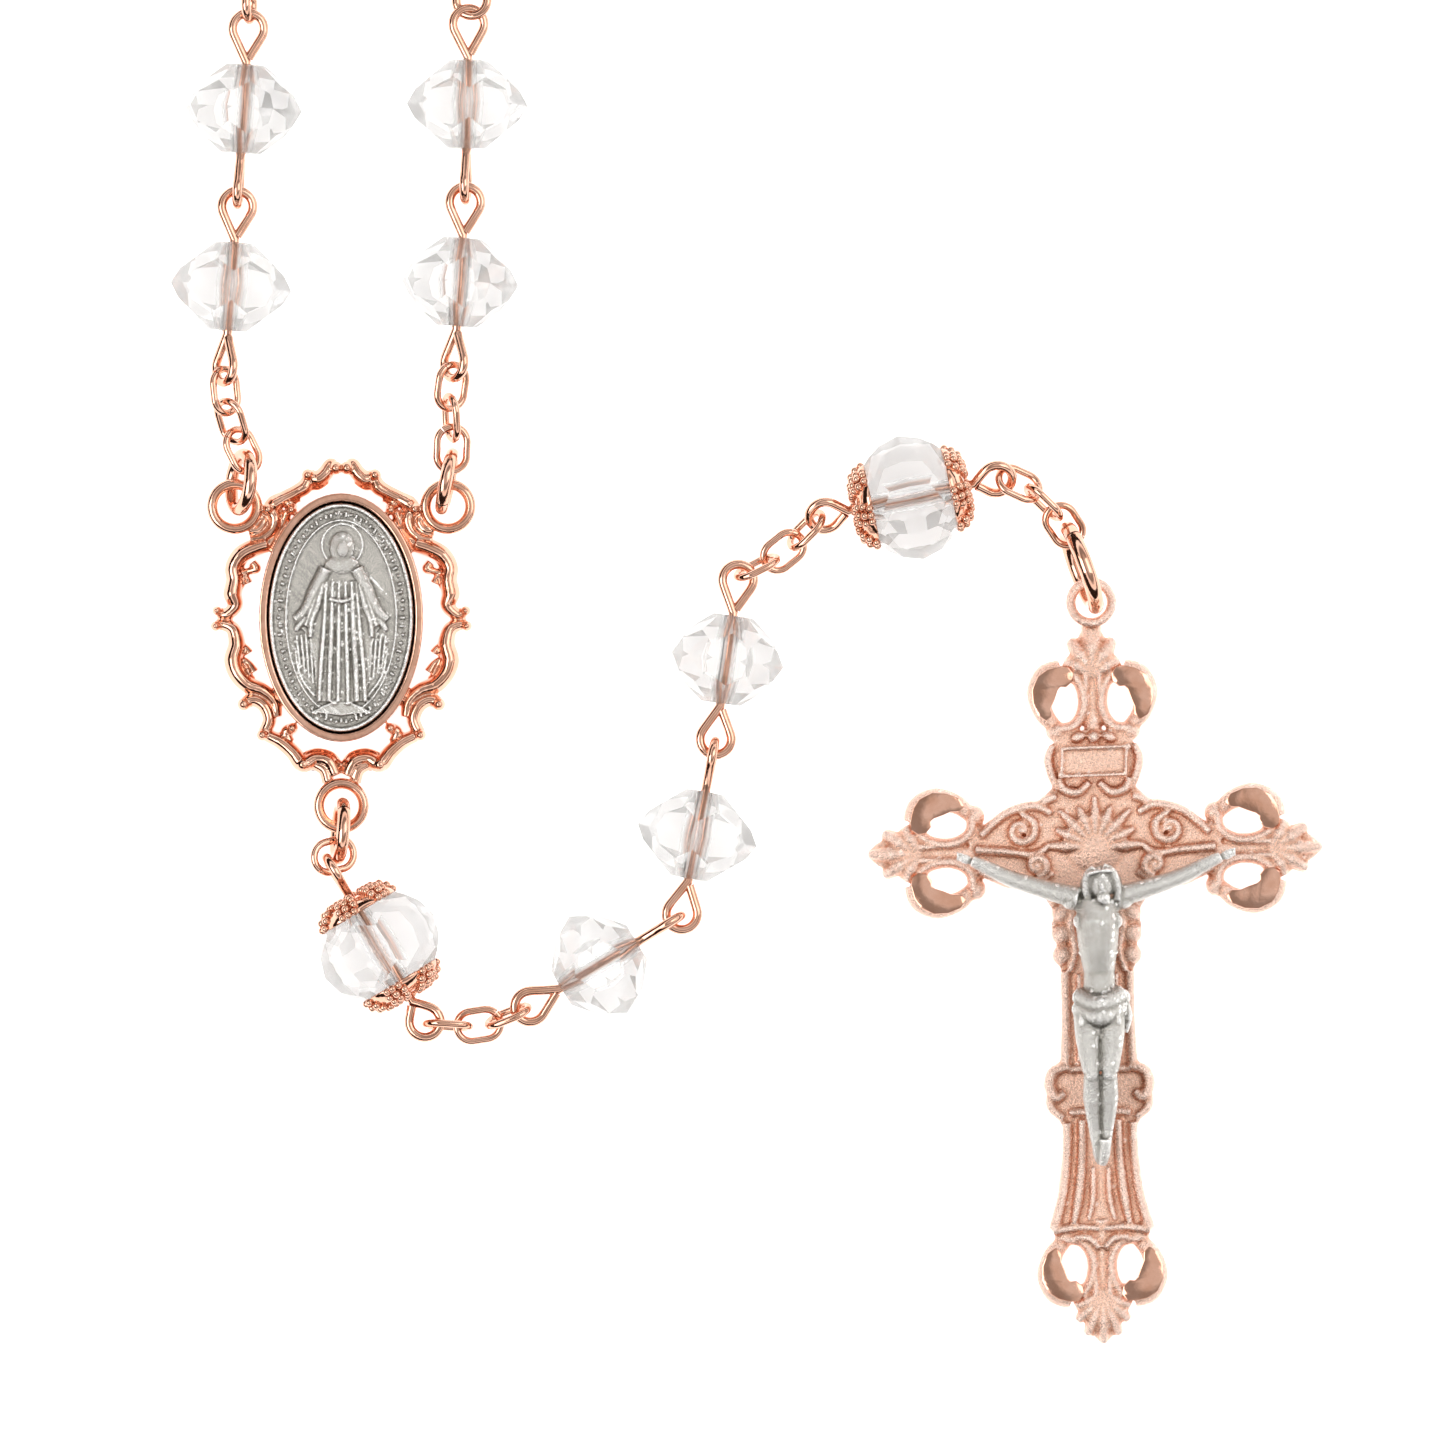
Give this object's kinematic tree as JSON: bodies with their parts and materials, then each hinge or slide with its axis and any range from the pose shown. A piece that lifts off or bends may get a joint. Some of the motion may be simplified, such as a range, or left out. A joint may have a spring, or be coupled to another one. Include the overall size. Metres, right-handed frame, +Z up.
{
  "type": "rosary",
  "caption": "Rosary with cut glass beads on eye pins, chain links and jump rings, a filigree centre with an oval medal, and a cast crucifix.",
  "frame": {"origin": "middle of the footprint at the table the rosary lies on", "axes": "+Z up from the table, +Y from the crucifix's foot towards the far end of the bead loop, +X to the right as seen from above"},
  "size_m": [0.096, 0.2384, 0.0084],
  "materials": {
    "rose_gold": "polished rose gold plating",
    "satin_rose_gold": "satin, fine grain, polished high faces",
    "old_silver": "oxidised silver plating, dark in its hollows",
    "crystal": "clear cut glass",
    "joined_beads": "clear cut glass beads on rose gold wire"
  },
  "bodies": {
    "far_loop": {"decade_1": "joined_beads", "decade_divider_1": "joined_beads", "decade_2": "joined_beads", "decade_divider_2": "joined_beads", "decade_3": "joined_beads", "decade_divider_3": "joined_beads", "decade_4": "joined_beads", "decade_divider_4": "joined_beads", "decade_5": "joined_beads"},
    "left_hail_mary_1": {"left_hail_mary_1_pin": "rose_gold"},
    "left_hail_mary_1_bead": {"left_hail_mary_1_bead": "crystal"},
    "left_hail_mary_2": {"left_hail_mary_2_pin": "rose_gold"},
    "left_hail_mary_2_bead": {"left_hail_mary_2_bead": "crystal"},
    "right_hail_mary_1": {"right_hail_mary_1_pin": "rose_gold"},
    "right_hail_mary_1_bead": {"right_hail_mary_1_bead": "crystal"},
    "right_hail_mary_2": {"right_hail_mary_2_pin": "rose_gold"},
    "right_hail_mary_2_bead": {"right_hail_mary_2_bead": "crystal"},
    "centre_jump_ring": {"centre_jump_ring": "rose_gold"},
    "centre_link": {"centre_link": "rose_gold"},
    "our_father_1": {"our_father_1_pin": "rose_gold"},
    "our_father_1_bead": {"our_father_1_bead": "crystal", "our_father_1_cap_near": "rose_gold", "our_father_1_cap_far": "rose_gold"},
    "pendant_link_1": {"pendant_link_1": "rose_gold"},
    "pendant_link_2": {"pendant_link_2": "rose_gold"},
    "pendant_link_3": {"pendant_link_3": "rose_gold"},
    "hail_mary_1": {"hail_mary_1_pin": "rose_gold"},
    "hail_mary_1_bead": {"hail_mary_1_bead": "crystal"},
    "hail_mary_2": {"hail_mary_2_pin": "rose_gold"},
    "hail_mary_2_bead": {"hail_mary_2_bead": "crystal"},
    "hail_mary_3": {"hail_mary_3_pin": "rose_gold"},
    "hail_mary_3_bead": {"hail_mary_3_bead": "crystal"},
    "pendant_link_4": {"pendant_link_4": "rose_gold"},
    "pendant_link_5": {"pendant_link_5": "rose_gold"},
    "pendant_link_6": {"pendant_link_6": "rose_gold"},
    "our_father_2": {"our_father_2_pin": "rose_gold"},
    "our_father_2_bead": {"our_father_2_bead": "crystal", "our_father_2_cap_near": "rose_gold", "our_father_2_cap_far": "rose_gold"},
    "pendant_link_7": {"pendant_link_7": "rose_gold"},
    "pendant_link_8": {"pendant_link_8": "rose_gold"},
    "pendant_link_9": {"pendant_link_9": "rose_gold"},
    "crucifix_jump_ring": {"crucifix_jump_ring": "rose_gold"},
    "centre": {"centre_frame": "rose_gold", "centre_medal": "old_silver"},
    "crucifix": {"cross": "satin_rose_gold", "corpus": "old_silver"},
    "left_link_run": {"left_link_1": "rose_gold", "left_link_2": "rose_gold", "left_link_3": "rose_gold", "left_jump_ring": "rose_gold"},
    "right_link_run": {"right_link_1": "rose_gold", "right_link_2": "rose_gold", "right_link_3": "rose_gold", "right_jump_ring": "rose_gold"}
  },
  "joints": [
    {"name": "left_hail_mary_2_hinge", "type": "hinge", "parent": "far_loop", "child": "left_hail_mary_2", "pos_m": [-0.0429, -0.02416, 0.0042], "axis": [0, 0, 1], "range_deg": [-15, 15]},
    {"name": "left_hail_mary_1_hinge", "type": "hinge", "parent": "left_hail_mary_2", "child": "left_hail_mary_1", "pos_m": [-0.04374, -0.03784, 0.0042], "axis": [0, 0, 1], "range_deg": [-15, 15]},
    {"name": "left_link_run_hinge", "type": "hinge", "parent": "left_hail_mary_1", "child": "left_link_run", "pos_m": [-0.04471, -0.05013, 0.0042], "axis": [0, 0, 1], "range_deg": [-15, 15]},
    {"name": "right_hail_mary_2_hinge", "type": "hinge", "parent": "far_loop", "child": "right_hail_mary_2", "pos_m": [-0.02726, -0.02383, 0.0042], "axis": [0, 0, 1], "range_deg": [-15, 15]},
    {"name": "right_hail_mary_1_hinge", "type": "hinge", "parent": "right_hail_mary_2", "child": "right_hail_mary_1", "pos_m": [-0.0275, -0.03752, 0.0042], "axis": [0, 0, 1], "range_deg": [-15, 15]},
    {"name": "right_link_run_hinge", "type": "hinge", "parent": "right_hail_mary_1", "child": "right_link_run", "pos_m": [-0.02836, -0.04985, 0.0042], "axis": [0, 0, 1], "range_deg": [-15, 15]},
    {"name": "centre_hinge", "type": "hinge", "parent": "left_link_run", "child": "centre", "pos_m": [-0.04406, -0.05926, 0.0018], "axis": [0, 0, 1], "range_deg": [-15, 15]},
    {"name": "centre_ring_hinge", "type": "hinge", "parent": "centre", "child": "centre_jump_ring", "pos_m": [-0.03643, -0.08066, 0.0018], "axis": [0, 0, 1], "range_deg": [-30, 25]},
    {"name": "centre_link_hinge", "type": "hinge", "parent": "centre_jump_ring", "child": "centre_link", "pos_m": [-0.03646, -0.08409, 0.0037], "axis": [0, 0, -1], "range_deg": [-30, 5]},
    {"name": "our_father_1_hinge", "type": "hinge", "parent": "centre_link", "child": "our_father_1", "pos_m": [-0.03741, -0.08434, 0.0042], "axis": [0, 0, 1], "range_deg": [-40, 10]},
    {"name": "pendant_link_1_hinge", "type": "hinge", "parent": "our_father_1", "child": "pendant_link_1", "pos_m": [-0.0303, -0.09618, 0.0042], "axis": [0, 0, -1], "range_deg": [-25, 45]},
    {"name": "pendant_link_2_hinge", "type": "hinge", "parent": "pendant_link_1", "child": "pendant_link_2", "pos_m": [-0.02723, -0.0964, 0.0037], "axis": [0, 0, 1], "range_deg": [-45, 25]},
    {"name": "pendant_link_3_hinge", "type": "hinge", "parent": "pendant_link_2", "child": "pendant_link_3", "pos_m": [-0.02585, -0.09618, 0.0037], "axis": [0, 0, -1], "range_deg": [-25, 45]},
    {"name": "hail_mary_1_hinge", "type": "hinge", "parent": "pendant_link_3", "child": "hail_mary_1", "pos_m": [-0.02308, -0.09506, 0.0042], "axis": [0, 0, 1], "range_deg": [-45, 25]},
    {"name": "hail_mary_2_hinge", "type": "hinge", "parent": "hail_mary_1", "child": "hail_mary_2", "pos_m": [-0.0121, -0.08846, 0.0042], "axis": [0, 0, -1], "range_deg": [-40, 45]},
    {"name": "hail_mary_3_hinge", "type": "hinge", "parent": "hail_mary_2", "child": "hail_mary_3", "pos_m": [-0.00968, -0.07601, 0.0042], "axis": [0, 0, 1], "range_deg": [-45, 45]},
    {"name": "pendant_link_4_hinge", "type": "hinge", "parent": "hail_mary_3", "child": "pendant_link_4", "pos_m": [-0.00804, -0.06431, 0.0042], "axis": [0, 0, -1], "range_deg": [-45, 30]},
    {"name": "pendant_link_5_hinge", "type": "hinge", "parent": "pendant_link_4", "child": "pendant_link_5", "pos_m": [-0.00542, -0.06297, 0.0037], "axis": [0, 0, 1], "range_deg": [-20, 45]},
    {"name": "pendant_link_6_hinge", "type": "hinge", "parent": "pendant_link_5", "child": "pendant_link_6", "pos_m": [-0.00418, -0.06197, 0.0037], "axis": [0, 0, -1], "range_deg": [-45, 20]},
    {"name": "our_father_2_hinge", "type": "hinge", "parent": "pendant_link_6", "child": "our_father_2", "pos_m": [-0.00227, -0.06005, 0.0042], "axis": [0, 0, 1], "range_deg": [-15, 45]},
    {"name": "pendant_link_7_hinge", "type": "hinge", "parent": "our_father_2", "child": "pendant_link_7", "pos_m": [0.01095, -0.05725, 0.0042], "axis": [0, 0, -1], "range_deg": [-45, 15]},
    {"name": "pendant_link_8_hinge", "type": "hinge", "parent": "pendant_link_7", "child": "pendant_link_8", "pos_m": [0.01263, -0.058, 0.0039], "axis": [0, 0, 1], "range_deg": [-25, 45]},
    {"name": "pendant_link_9_hinge", "type": "hinge", "parent": "pendant_link_8", "child": "pendant_link_9", "pos_m": [0.01479, -0.06008, 0.0036], "axis": [0, 0, -1], "range_deg": [-45, 25]},
    {"name": "crucifix_ring_hinge", "type": "hinge", "parent": "pendant_link_9", "child": "crucifix_jump_ring", "pos_m": [0.01538, -0.06095, 0.0033], "axis": [0, 0, 1], "range_deg": [-25, 45]},
    {"name": "crucifix_hinge", "type": "hinge", "parent": "crucifix_jump_ring", "child": "crucifix", "pos_m": [0.01716, -0.06612, 0.0022], "axis": [0, 0, -1], "range_deg": [-45, 30]},
    {"name": "left_hail_mary_1_spin", "type": "hinge", "parent": "left_hail_mary_1", "child": "left_hail_mary_1_bead", "pos_m": [-0.0442, -0.04366, 0.0042], "axis": [0.0785, 0.9969, 0], "continuous": true},
    {"name": "left_hail_mary_2_spin", "type": "hinge", "parent": "left_hail_mary_2", "child": "left_hail_mary_2_bead", "pos_m": [-0.04332, -0.031, 0.0042], "axis": [0.061, 0.9981, 0], "continuous": true},
    {"name": "right_hail_mary_1_spin", "type": "hinge", "parent": "right_hail_mary_1", "child": "right_hail_mary_1_bead", "pos_m": [-0.0279, -0.04335, 0.0042], "axis": [0.0698, 0.9976, 0], "continuous": true},
    {"name": "right_hail_mary_2_spin", "type": "hinge", "parent": "right_hail_mary_2", "child": "right_hail_mary_2_bead", "pos_m": [-0.02738, -0.03068, 0.0042], "axis": [0.0175, 0.9998, 0], "continuous": true},
    {"name": "our_father_1_spin", "type": "hinge", "parent": "our_father_1", "child": "our_father_1_bead", "pos_m": [-0.03362, -0.09066, 0.0042], "axis": [0.515, -0.8572, 0], "continuous": true},
    {"name": "hail_mary_1_spin", "type": "hinge", "parent": "hail_mary_1", "child": "hail_mary_1_bead", "pos_m": [-0.01797, -0.09199, 0.0042], "axis": [0.8572, 0.515, 0], "continuous": true},
    {"name": "hail_mary_2_spin", "type": "hinge", "parent": "hail_mary_2", "child": "hail_mary_2_bead", "pos_m": [-0.01099, -0.08273, 0.0042], "axis": [0.1908, 0.9816, 0], "continuous": true},
    {"name": "hail_mary_3_spin", "type": "hinge", "parent": "hail_mary_3", "child": "hail_mary_3_bead", "pos_m": [-0.00887, -0.07022, 0.0042], "axis": [0.1392, 0.9903, 0], "continuous": true},
    {"name": "our_father_2_spin", "type": "hinge", "parent": "our_father_2", "child": "our_father_2_bead", "pos_m": [0.00423, -0.05867, 0.0042], "axis": [0.9781, 0.2079, 0], "continuous": true}
  ],
  "couplings": [
    {"joint": "left_hail_mary_1_hinge", "follows": "left_hail_mary_2_hinge", "ratio": -1},
    {"joint": "right_hail_mary_2_hinge", "follows": "left_hail_mary_2_hinge", "ratio": 1},
    {"joint": "right_hail_mary_1_hinge", "follows": "left_hail_mary_2_hinge", "ratio": -1},
    {"joint": "left_link_run_hinge", "follows": "centre_hinge", "ratio": -1},
    {"joint": "right_link_run_hinge", "follows": "centre_hinge", "ratio": -1}
  ]
}
